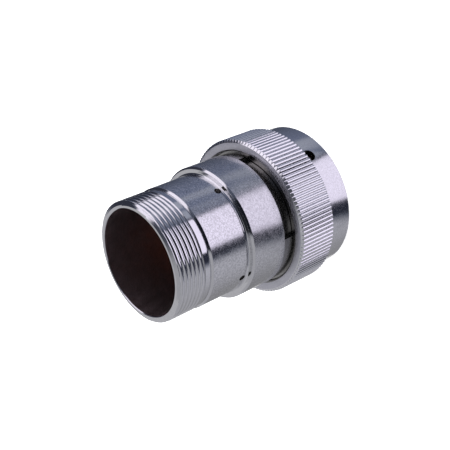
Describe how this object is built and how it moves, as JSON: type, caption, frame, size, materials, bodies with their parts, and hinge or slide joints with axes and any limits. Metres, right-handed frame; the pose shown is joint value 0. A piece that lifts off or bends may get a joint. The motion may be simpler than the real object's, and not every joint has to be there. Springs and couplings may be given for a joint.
{
  "type": "circular bayonet plug connector",
  "caption": "Round metal plug connector with a knurled bayonet coupling ring, stepped end bell and threaded wire entry.",
  "frame": {"origin": "centre of the coupling ring's mating face, on the axis, which is the bottom of the part as it stands", "axes": "+Z along the axis from the mating face to the threaded wire entry; +X through one of the spanner holes in the end bell"},
  "size_m": [0.0444, 0.0444, 0.0575],
  "materials": {
    "plated_ring": "nickel plated, satin turned with a bright knurl",
    "plated_shell": "nickel plated, satin with polished shoulders",
    "spring_steel": "bright spring steel",
    "black_rubber": "matt",
    "red_silicone": "matt silicone",
    "brown_insulator": "moulded thermoset, semi-gloss",
    "contact_metal": "gold plated"
  },
  "bodies": {
    "shell": {"plug_shell": "plated_shell", "end_bell": "plated_shell", "end_bell_gasket": "black_rubber", "split_collar": "spring_steel", "wave_spring": "spring_steel", "receptacle_gasket": "red_silicone", "front_insulator": "brown_insulator", "rear_insulator": "brown_insulator", "insulator_lock_ring": "plated_shell", "contact_01": "contact_metal", "contact_02": "contact_metal", "contact_03": "contact_metal", "contact_04": "contact_metal", "contact_05": "contact_metal", "contact_06": "contact_metal", "contact_07": "contact_metal", "contact_08": "contact_metal", "contact_09": "contact_metal", "contact_10": "contact_metal", "contact_11": "contact_metal", "contact_12": "contact_metal", "contact_13": "contact_metal", "contact_14": "contact_metal", "contact_15": "contact_metal", "contact_16": "contact_metal", "contact_17": "contact_metal", "contact_18": "contact_metal", "contact_19": "contact_metal"},
    "washer": {"thrust_washer": "spring_steel"},
    "ring": {"coupling_ring": "plated_ring"}
  },
  "joints": [
    {"name": "ring_float", "type": "slide", "parent": "shell", "child": "washer", "axis": [0, 0, -1], "range_m": [0, 0.0008], "stiffness_N_per_m": 4000, "springref_m": -0.0005, "deforming": ["wave_spring"]},
    {"name": "ring_turn", "type": "hinge", "parent": "washer", "child": "ring", "pos_m": [0, 0, 0], "axis": [0, 0, 1], "continuous": true}
  ]
}
